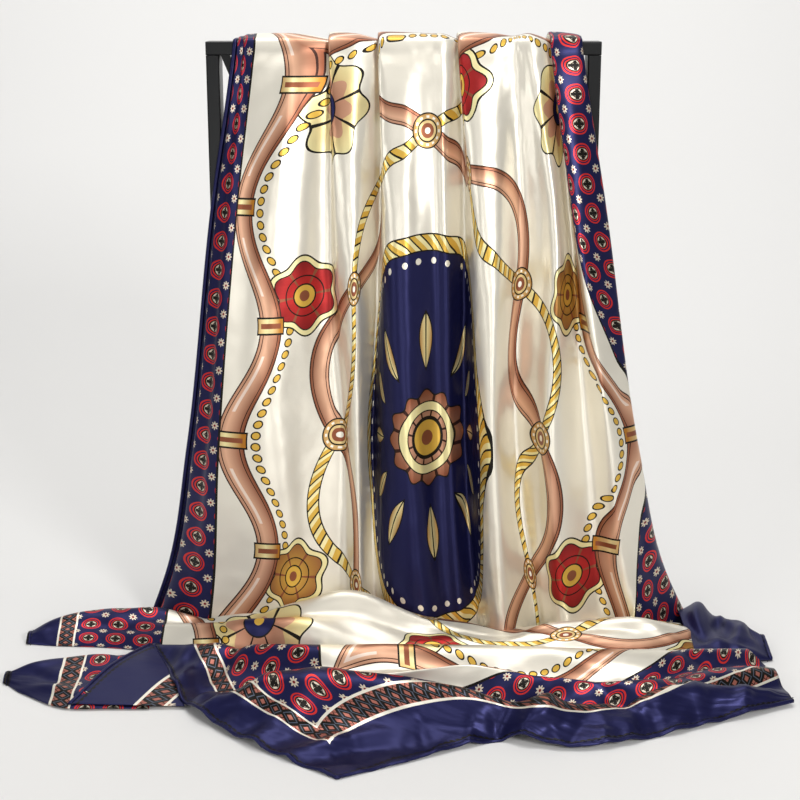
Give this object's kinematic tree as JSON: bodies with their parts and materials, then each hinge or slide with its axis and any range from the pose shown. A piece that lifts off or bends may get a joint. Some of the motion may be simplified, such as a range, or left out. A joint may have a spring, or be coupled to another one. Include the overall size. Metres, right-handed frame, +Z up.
{
  "type": "square scarf draped on a frame stand",
  "caption": "Pleated silk square scarf hanging over the rail of a small steel frame stand, its end lying in rolls on the floor.",
  "frame": {"origin": "middle of the whole footprint, on the floor", "axes": "+Z up, the front of the scarf faces -Y, +X to the viewer's right"},
  "size_m": [0.592, 0.4056, 0.4771],
  "materials": {
    "satin": "printed silk satin, glossy face and duller reverse, cream with navy border and centre",
    "steel_paint": "semi-gloss black powder coat on steel tube"
  },
  "bodies": {
    "root": {"stand_post_left": "steel_paint", "stand_post_right": "steel_paint", "stand_foot_left": "steel_paint", "stand_foot_right": "steel_paint", "stand_top_rail": "steel_paint", "stand_bottom_rail": "steel_paint", "stand_rear_rail": "steel_paint", "stand_brace": "steel_paint", "scarf_over_rail": "satin", "scarf_back_flap": "satin", "scarf_drop_left": "satin", "scarf_drop_middle": "satin", "scarf_drop_right": "satin", "pool_rolls": "satin", "pool_front_border": "satin", "pool_left_tongue": "satin", "pool_right_tongue": "satin"}
  },
  "joints": []
}
